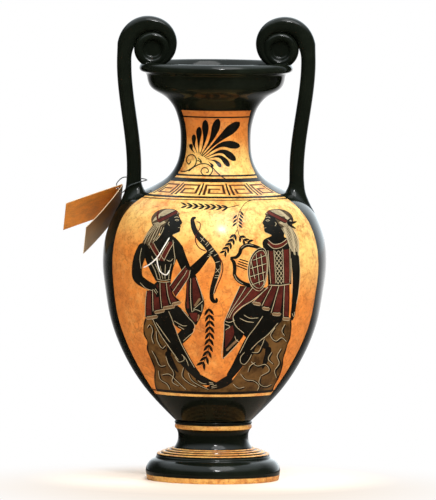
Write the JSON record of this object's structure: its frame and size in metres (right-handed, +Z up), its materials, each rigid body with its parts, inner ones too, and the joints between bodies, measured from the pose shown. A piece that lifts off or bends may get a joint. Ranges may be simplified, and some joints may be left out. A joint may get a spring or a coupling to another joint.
{
  "type": "amphora",
  "caption": "Footed amphora with strap handles that rise above the lip and roll into volutes, painted front panels, and a folded card tag on a wire tie.",
  "frame": {"origin": "on the vessel's axis, at the centre of the flat underside it stands on", "axes": "+Z up along the vessel's axis; the handles lie along X, with the tagged handle at -X; -Y faces the viewer"},
  "size_m": [0.2274, 0.193, 0.3995],
  "materials": {
    "black_glaze": "gloss",
    "painted_clay": "varnished",
    "kraft_card": "uncoated",
    "dark_wire": "dark oxide"
  },
  "bodies": {
    "amphora": {"foot": "black_glaze", "stem": "black_glaze", "belly_bowl": "painted_clay", "shoulder": "painted_clay", "neck": "painted_clay", "mouth": "black_glaze", "handle_left": "black_glaze", "handle_right": "black_glaze", "tag_wire": "dark_wire"},
    "tag_back": {"tag_back_leaf": "kraft_card"},
    "tag_front": {"tag_front_leaf": "kraft_card"}
  },
  "joints": [
    {"name": "tag_swing", "type": "hinge", "parent": "amphora", "child": "tag_back", "pos_m": [-0.0835, -0.00243, 0.24961], "axis": [-0.6259, 0.364, 0.6898], "range_deg": [-2, 40]},
    {"name": "tag_fold", "type": "hinge", "parent": "tag_back", "child": "tag_front", "pos_m": [-0.08007, -0.00087, 0.25189], "axis": [0.057, -0.8607, 0.5058], "range_deg": [-30, 8], "stiffness_Nm_per_rad": 0.004}
  ]
}
